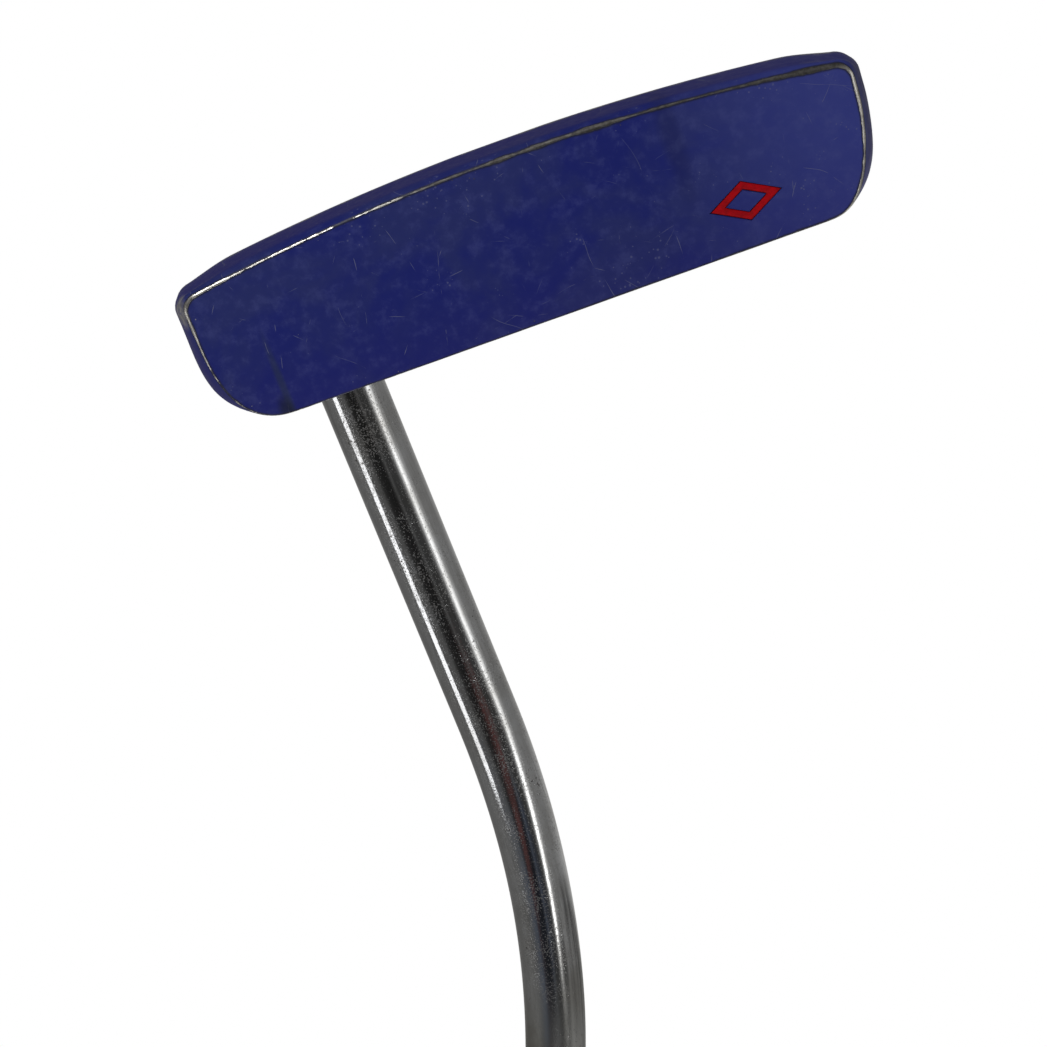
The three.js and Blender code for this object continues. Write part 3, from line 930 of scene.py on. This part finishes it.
def sole_ridge_wear_and_highlight(s, place):
    """Where the paint is rubbed, raggedly, along the low ridge behind the sole's flat land, and
    lightened there as a painted rim highlight.
    """
    ridge = (LAND_END - LAND_MIDDLE) * MM
    off = s.math("ABSOLUTE", s.minus(s.axis(place, "Y"), ridge))
    near = s.band(off, 0.0002, 0.0026, 0.7, 0.0)
    along = s.turned(place, scale=(0.4, 1.0, 1.0))
    ragged = s.noise(along, 800.0, detail=5.0, roughness=0.7)
    worn = s.band(s.plus(near, s.times(ragged, 0.9)), 0.9, 1.15)
    low = s.band(s.axis(place, "Z"), 0.0050, 0.0062, 1.0, 0.0)
    patchy = s.noise(place, 120.0, detail=4.0, roughness=0.65)
    return s.times(s.times(worn, low), s.band(patchy, 0.42, 0.6, 0.1, 0.85))


def paint_colour(s, place):
    """The blue paint before its edges wore: mottled, darker in streaks, scratched and speckled,
    with painted light towards the toe and rubbed paint with a painted highlight on the sole's
    ridge.

    Also returns the mask of the scratches and the mottling."""
    patches = s.noise(s.warped(place, 60.0, 0.02), 75.0, detail=4.0, roughness=0.6)
    mottle = s.noise(place, 520.0, detail=4.0, roughness=0.7)
    paint = s.mix(s.band(patches, 0.36, 0.64), PAINT, PAINT_PATCH)
    # Painted light: the paint turns lighter towards the toe, as if lit more there.
    toe_painted_light = s.band(s.axis(place, "X"), -0.047, -0.014, 0.72, 0.0)
    paint = s.mix(toe_painted_light, paint, PAINT_TOE_LIT)
    paint = s.mix(s.band(mottle, 0.46, 0.74, 0.0, 0.3), paint, PAINT_BLOOM)
    behind = s.band(s.axis(place, "Y"), -0.0050, -0.0030, 0.0, 0.7)
    paint = s.mix(behind, paint, PAINT_BEHIND)
    # Rubbed paint and a painted highlight along the sole's ridge.
    paint = s.mix(sole_ridge_wear_and_highlight(s, place), paint, PAINT_RIDGE_WEAR_AND_HIGHLIGHT)
    for middle, reach, strength, tint in FACE_STREAKS:
        paint = s.mix(s.times(s.spot(place, middle, reach), strength), paint, tint)

    strength = s.band(s.noise(place, 42.0, detail=2.0), 0.36, 0.6, 0.2, 0.7)
    lines = s.times(scratches(s, place, FACE_SCRATCHES, 3.1), strength)
    paint = s.mix(lines, paint, PAINT_SCRATCHED)
    speck_room = s.noise(place, 130.0, detail=4.0, roughness=0.65)
    specks = s.is_less(s.cells(place, 1500.0), s.band(speck_room, 0.46, 0.72, 0.0, 0.27))
    paint = s.mix(s.times(specks, 0.55), paint, PAINT_SPECK)
    return paint, lines, mottle


def bare_patches(s, place, gap, ragged):
    """Where the paint is off besides the worn edge: the knocked heel corner, and small chips."""
    corner = s.spot(place, (48.6, -3.4, 5.6), (2.6, 3.2, 3.6))
    corner = s.times(corner, s.band(ragged, 0.3, 0.6))
    chip_room = s.band(s.noise(place, 240.0, detail=3.0), 0.5, 0.75)
    near_edge = s.band(gap, 0.4, 3.0, 0.2, 0.02)
    chips = s.is_less(s.cells(place, 1100.0), s.times(chip_room, near_edge))
    return s.times(corner, 0.8), s.times(chips, 0.6)


def bare_metal(s, place):
    """The metal's colour, with a painted highlight at the heel and up the toe, and the mask of
    that highlight.
    """
    across, up = s.axis(place, "X"), s.axis(place, "Z")
    # Painted highlight: the bare metal is lighter up the toe side and over the heel half.
    toe_side = s.times(s.band(across, -0.044, -0.038, 1.0, 0.0), s.band(up, 0.004, 0.006))
    lit_and_polished = s.larger(toe_side, s.band(across, 0.008, 0.026, 0.0, 0.8))
    tone = s.band(s.noise(place, 900.0, detail=3.0, roughness=0.65), 0.35, 0.65)
    return s.mix(lit_and_polished, s.mix(tone, *METAL_DULL), s.mix(tone, *METAL_HIGHLIGHT)), lit_and_polished


def paint_material():
    """Blue paint on cast metal, worn through to the metal along the face's edge."""
    s = Shader("blue_paint")
    place = s.place()
    paint, lines, mottle = paint_colour(s, place)
    gap, wear = s.attribute("edge_gap"), s.attribute("edge_wear")
    ragged = s.noise(place, 700.0, detail=4.0, roughness=0.7)
    broad = s.noise(place, 160.0, detail=3.0)
    reach = s.times(wear, s.band(broad, 0.25, 0.75, 0.45, 1.3))
    reach = s.plus(reach, s.band(ragged, 0.2, 0.8, -0.07, 0.07))
    over = s.minus(reach, gap)
    bare = s.band(over, -0.02, 0.04)
    # Painted shade: a dark band on the paint just outside the bare metal, along the face's rounded
    # edge.
    paint = s.mix(s.band(over, -0.35, -0.03, 0.0, 0.85), paint, PAINT_EDGE_SHADE)
    for patch in bare_patches(s, place, gap, ragged):
        bare = s.larger(bare, patch)
    metal, lit_and_polished = bare_metal(s, place)
    rough = s.band(mottle, 0.3, 0.7, 0.36, 0.48)
    # The painted highlight's mask also makes the bare metal smoother there.
    rougher = s.band(lit_and_polished, 0.0, 1.0, 0.14, -0.12)
    s.set(
        Base_Color=s.mix(bare, paint, metal),
        Metallic=s.times(bare, 0.9),
        Roughness=s.plus(rough, s.times(bare, rougher)),
        Specular_IOR_Level=0.22,
    )
    peel = s.noise(place, 480.0, detail=2.0)
    height = s.minus(s.times(peel, 0.25), s.times(lines, 0.3))
    height = s.minus(height, s.times(bare, 0.8))
    s.set(Normal=s.bump(height, 0.35, 0.00008))
    return s.material


def enamel_material(name, bright, dull, rough, gloss):
    """Brushed-in enamel: uneven, with dirt in it."""
    s = Shader(name)
    place = s.place()
    tone = s.noise(place, 900.0, detail=4.0, roughness=0.65)
    dirt = s.noise(place, 330.0, detail=3.0)
    base = s.mix(s.band(tone, 0.35, 0.7), bright, dull)
    base = s.mix(s.band(dirt, 0.6, 0.8, 0.0, 0.5), base, ENAMEL_DIRT)
    s.set(Base_Color=base, Roughness=s.band(tone, 0.3, 0.7, rough, rough + 0.15))
    s.set(Normal=s.bump(tone, 0.3, 0.00006), Specular_IOR_Level=gloss)
    return s.material


def chrome_material():
    """Old chrome plate: a mirror with dull pinholes, rust specks, fine streaks and haze."""
    s = Shader("shaft_chrome")
    place = s.place()
    haze = s.noise(place, 90.0, detail=5.0, roughness=0.65)
    up = s.axis(place, "Z")
    # Past the bend the plate has gone dull, less so further up.
    dirty = s.times(s.band(up, 0.114, 0.130), s.band(up, 0.18, 0.32, 1.0, 0.35))
    along = s.turned(place, scale=(1.0, 1.0, 0.02))
    streaks = s.noise(along, 2600.0, detail=3.0, roughness=0.6)
    pit_room = s.noise(place, 170.0, detail=4.0, roughness=0.6)
    crooked = s.warped(place, 5000.0, 0.0004)
    pits = s.is_less(s.cells(crooked, 3600.0), s.band(pit_room, 0.32, 0.62, 0.14, 0.42))
    pits = s.times(pits, s.band(dirty, 0.0, 1.0, 1.0, 0.3))
    rust = s.is_less(s.cells(crooked, 1300.0), s.band(pit_room, 0.4, 0.7, 0.0, 0.22))
    faults = s.larger(pits, rust)
    base = s.mix(s.band(haze, 0.38, 0.7), CHROME, CHROME_HAZE)
    base = s.mix(s.band(streaks, 0.45, 0.75, 0.0, 0.4), base, CHROME_STREAK)
    dull = s.mix(s.band(haze, 0.35, 0.65), *CHROME_DULL)
    base = s.mix(s.times(dirty, 0.75), base, dull)
    base = s.mix(s.times(pits, 0.6), base, CHROME_PIT)
    base = s.mix(s.times(rust, 0.85), base, RUST)
    rough = s.plus(s.band(haze, 0.4, 0.75, 0.05, 0.12), s.times(dirty, 0.15))
    s.set(
        Base_Color=base,
        Metallic=s.minus(1.0, s.times(faults, 0.3)),
        Roughness=s.plus(rough, s.times(faults, 0.05)),
    )
    grain = s.noise(place, 3400.0, detail=2.0, roughness=0.6)
    height = s.minus(s.times(grain, 0.25), s.times(pits, 0.12))
    height = s.minus(height, s.times(rust, 0.7))
    s.set(Normal=s.bump(height, 0.4, 0.00004))
    return s.material


def rubber_material(name, grain):
    """Moulded black rubber: fine grain, dusty where hands don't polish it."""
    s = Shader(name)
    along = s.turned(s.place(), rotation=(0, -math.degrees(LIE_LEAN), 0))
    skin_grain = s.cells(along, grain)
    dust = s.noise(along, 90.0, detail=6.0, roughness=0.65)
    worn = s.noise(along, 18.0, detail=3.0)
    base = s.mix(s.band(dust, 0.38, 0.68), RUBBER, RUBBER_DUST)
    base = s.mix(s.band(worn, 0.45, 0.7, 0.0, 0.35), base, RUBBER_WORN)
    s.set(Base_Color=base, Roughness=s.band(worn, 0.35, 0.7, 0.82, 0.6))
    s.set(Normal=s.bump(s.plus(skin_grain, s.times(dust, 0.4)), 0.8, 0.0002))
    return s.material


def simple_material(name, light, dark, scale, rough, depth):
    """A two-tone grained surface, for the pieces that are mostly out of sight."""
    s = Shader(name)
    grain = s.noise(s.place(), scale, detail=4.0, roughness=0.6)
    s.set(
        Base_Color=s.mix(s.band(grain, 0.35, 0.7), light, dark),
        Roughness=s.band(grain, 0.3, 0.7, rough - 0.08, rough + 0.08),
        Normal=s.bump(grain, 0.3, depth),
    )
    return s.material


# ---- Stage ----
CAMERA_TARGET = Vector((14.4, -5.65, 50.3))
CAMERA_DISTANCE = 296.0
CAMERA_RISE = math.radians(19.6)  # it looks up at the putter, which is upside down in the view
CAMERA_TURN = math.radians(2.6)
CAMERA_ROLL = math.radians(159.7)
LENS = 72.2
SENSOR = 36.0
FLOOR_HEIGHT = -450.0  # the putter is held in the air, and the low lamp is under it too
FLOOR_HALF = 6000.0
FLOOR_PALE = (colour(0.86, 0.86, 0.85), colour(0.88, 0.88, 0.88))
FLOOR_DIM = colour(0.10, 0.10, 0.10)
# Lamps: where each stands, what it faces, its width and height in metres, and its watts.
LAMPS = {
    "key": ((0.55, -0.8, 1.5), (0.0, 0.0, 0.3), (0.8, 0.8), 10.0),
    "under": ((0.07, -0.22, -0.27), (0.0, 0.0, 0.01), (0.14, 0.06), 0.85),
    "heel_lamp": ((0.216, -0.081, 0.067), (0.033, 0.0, 0.067), (0.06, 0.18), 0.0535),
}
# How bright the room is round the horizon, by the angle in degrees from the target's side (-Y)
# towards the heel. The bright stretch is a tall lamp on the toe side.
HORIZON = [
    (-180, 0.45), (-150, 0.3), (-125, 0.22), (-84, 0.24), (-71, 0.45), (-60, 1.5),
    (-55, 1.7), (-50, 0.7), (-44, 0.17), (-36, 0.05), (-18, 0.045), (-12, 0.09), (-6, 0.04),
    (0, 0.016), (15, 0.018), (25, 0.03), (36, 0.1), (50, 0.12), (90, 0.17), (125, 0.14),
    (150, 0.2), (180, 0.45),
]
HORIZON_PEAK = 2.0  # the brightness that the colour ramp's white stands for
ROOM_WARM = colour(1.0, 0.99, 0.96)
ROOM_COOL = colour(0.84, 0.96, 1.22)
CARD_RED = colour(0.115, 0.052, 0.048)


def add_camera():
    data = bpy.data.cameras.new("camera")
    data.sensor_width = SENSOR
    data.lens = LENS
    data.clip_start = 0.01
    data.clip_end = 50.0
    camera = bpy.data.objects.new("camera", data)
    bpy.context.scene.collection.objects.link(camera)
    flat = math.cos(CAMERA_RISE)
    forward = Vector(
        (math.sin(CAMERA_TURN) * flat, math.cos(CAMERA_TURN) * flat, math.sin(CAMERA_RISE))
    )
    right = forward.cross(Vector((0, 0, 1))).normalized()
    up = right.cross(forward)
    c, s = math.cos(CAMERA_ROLL), math.sin(CAMERA_ROLL)
    across = right * c + up * s
    upward = up * c - right * s
    turn = Matrix((across, upward, -forward)).transposed().to_4x4()
    turn.translation = (CAMERA_TARGET - forward * CAMERA_DISTANCE) * MM
    camera.matrix_world = turn
    bpy.context.scene.camera = camera


def add_floor():
    bm = bmesh.new()
    bmesh.ops.create_grid(bm, x_segments=1, y_segments=1, size=FLOOR_HALF)
    bmesh.ops.translate(bm, vec=(0, 0, FLOOR_HEIGHT), verts=bm.verts)
    s = Shader("floor")
    pale = s.mix(s.noise(s.place(), 9.0, detail=2.0), *FLOOR_PALE)
    # Only the camera sees it pale, so that it doesn't light the head from below.
    seen = s.node("LightPath", {}).outputs["Is Camera Ray"]
    s.set(Base_Color=s.mix(seen, FLOOR_DIM, pale), Roughness=0.85)
    floor = new_object("floor", bm, s.material)


def room_brightness(w, turn, z, clutter):
    """The walls, with the lamp leaning towards the middle as it rises, and the ceiling."""
    lean = w.times(w.larger(w.minus(z, 0.27), 0.0), 130.0)
    leaning = w.minus(turn, w.times(lean, w.band(turn, -75.0, 5.0, 1.0, 0.45)))
    horizon = w.node("ValToRGB", {0: w.math("DIVIDE", w.plus(leaning, 180.0), 360.0)})
    stops = horizon.color_ramp.elements
    stops[0].position, stops[1].position = 0.0, 1.0
    for angle, _ in HORIZON[1:-1]:
        stops.new((angle + 180) / 360)
    for stop, (_, level) in zip(stops, HORIZON):
        share = level / HORIZON_PEAK
        stop.color = colour(share, share, share)
    # The lamp is brighter higher up, between its two edges.
    gain = w.times(w.band(z, 0.28, 0.42, 0.0, 0.7), w.band(leaning, -72.0, -59.0))
    gain = w.times(gain, w.band(leaning, -53.0, -45.0, 1.0, 0.0))
    gain = w.math("MULTIPLY_ADD", gain, HORIZON_PEAK, HORIZON_PEAK)
    walls = w.times(horizon.outputs["Color"], gain)

    above = w.times(w.band(turn, -70.0, -10.0, 0.16, 0.07), w.band(clutter, 0.3, 0.7, 0.5, 1.6))
    up = w.band(z, 0.54, 0.62)
    room = w.plus(w.times(walls, w.minus(1.0, up)), w.times(above, up))
    return w.plus(room, w.band(z, 0.75, 0.98, 0.0, 1.6))


def cool_stretch(w, turn, z):
    """1 in the part of the room in front that is lit a little blue."""
    tall = w.times(w.band(z, 0.3, 0.36), w.band(z, 0.46, 0.56, 1.0, 0.0))
    wide = w.times(w.band(turn, -24.0, -10.0), w.band(turn, 45.0, 75.0, 1.0, 0.0))
    return w.times(tall, wide)


def card_mask(w, turn, z, clutter):
    """1 on a leaning card in front, which is seen in the shaft's bend."""
    middle = w.times(w.minus(z, 0.281), 290.0)
    off = w.math("ABSOLUTE", w.minus(turn, middle))
    card = w.times(w.band(off, 5.0, 16.0, 1.0, 0.0), w.band(z, 0.215, 0.26))
    card = w.times(card, w.band(z, 0.35, 0.39, 1.0, 0.0))
    return w.times(card, w.band(clutter, 0.3, 0.6, 0.5, 1.0))


def add_world():
    """A dim room with a tall lamp, a pale ceiling and a card. The camera sees plain white."""
    world = bpy.data.worlds.new("studio")
    world.use_nodes = True
    bpy.context.scene.world = world
    w = Nodes(world.node_tree)
    way = w.node("TexCoord", {}).outputs["Generated"]
    x, y, z = (w.axis(way, name) for name in "XYZ")
    turn = w.math("DEGREES", w.math("ARCTAN2", x, w.times(y, -1.0)))
    clutter = w.noise(way, 7.0, roughness=0.5)
    tint = w.mix(cool_stretch(w, turn, z), ROOM_WARM, ROOM_COOL)
    scale = {0: tint, "Scale": room_brightness(w, turn, z, clutter)}
    light = w.node("VectorMath", scale, operation="SCALE").outputs[0]
    light = w.mix(card_mask(w, turn, z, clutter), light, CARD_RED)

    seen = w.node("LightPath", {}).outputs["Is Camera Ray"]
    lit = w.node("Background", {"Color": light, "Strength": 1.0})
    shown = w.node("Background", {"Color": colour(1.0, 1.0, 1.0), "Strength": 1.0})
    both = w.node("MixShader", {0: seen, 1: lit.outputs[0], 2: shown.outputs[0]})
    w.node("OutputWorld", {"Surface": both.outputs[0]})


def add_lamp(name, place, target, size, power):
    """An area light of a width and a height."""
    data = bpy.data.lights.new(name, "AREA")
    data.shape = "RECTANGLE"
    data.size, data.size_y = size
    data.energy = power
    lamp = bpy.data.objects.new(name, data)
    bpy.context.scene.collection.objects.link(lamp)
    lamp.location = place
    lamp.rotation_mode = "QUATERNION"
    lamp.rotation_quaternion = (Vector(target) - Vector(place)).to_track_quat("-Z", "Y")
    lamp.visible_camera = False


# ---- Build ----
paint = paint_material()
chrome = chrome_material()
rubber = rubber_material("grip_rubber", 1400.0)
cap_rubber = rubber_material("cap_rubber", 2200.0)
red = enamel_material(
    "red_enamel", colour(0.40, 0.001, 0.005), colour(0.25, 0.001, 0.004), 0.5, 0.1
)
white = enamel_material(
    "white_enamel", colour(0.70, 0.70, 0.66), colour(0.55, 0.55, 0.50), 0.42, 0.25
)
epoxy = simple_material(
    "epoxy", colour(0.045, 0.045, 0.036), colour(0.022, 0.022, 0.018), 900.0, 0.4, 0.00005
)
plug = simple_material(
    "plug_plastic", colour(0.21, 0.22, 0.23), colour(0.15, 0.155, 0.16), 700.0, 0.6, 0.00004
)
tape = simple_material(
    "tape", colour(0.60, 0.50, 0.28), colour(0.44, 0.36, 0.20), 260.0, 0.85, 0.00008
)

pieces = {
    "blue_paint": [make_head(paint)],
    "shaft_chrome": [make_shaft(chrome)],
    "epoxy": [make_bond(epoxy)],
    "grip_rubber": [make_grip(rubber)],
    "cap_rubber": [make_cap(cap_rubber)],
}
mark = new_object("mark_enamel", mark_ring(-INLAY_GAP, INLAY_LEVELS), red, 40)
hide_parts("face_mark_fill")
pieces["red_enamel"] = [mark]
pieces["white_enamel"] = []
for node_name, span in SIGHT_SPANS.items():
    enamel = new_object(node_name + "_enamel", sight_bar(span, INLAY_GAP, INLAY_LEVELS), white, 40)
    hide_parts(node_name)
    pieces["white_enamel"].append(enamel)

for slot_name, members in pieces.items():
    for piece in members:
        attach(piece, "root")

for node_name, material in (("tip_plug", plug), ("grip_tape", tape)):
    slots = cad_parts[node_name].data.materials
    slots.clear()
    slots.append(material)

add_camera()
add_floor()
add_world()
for name, settings in LAMPS.items():
    add_lamp(name, *settings)
bpy.context.scene.view_settings.view_transform = "Standard"
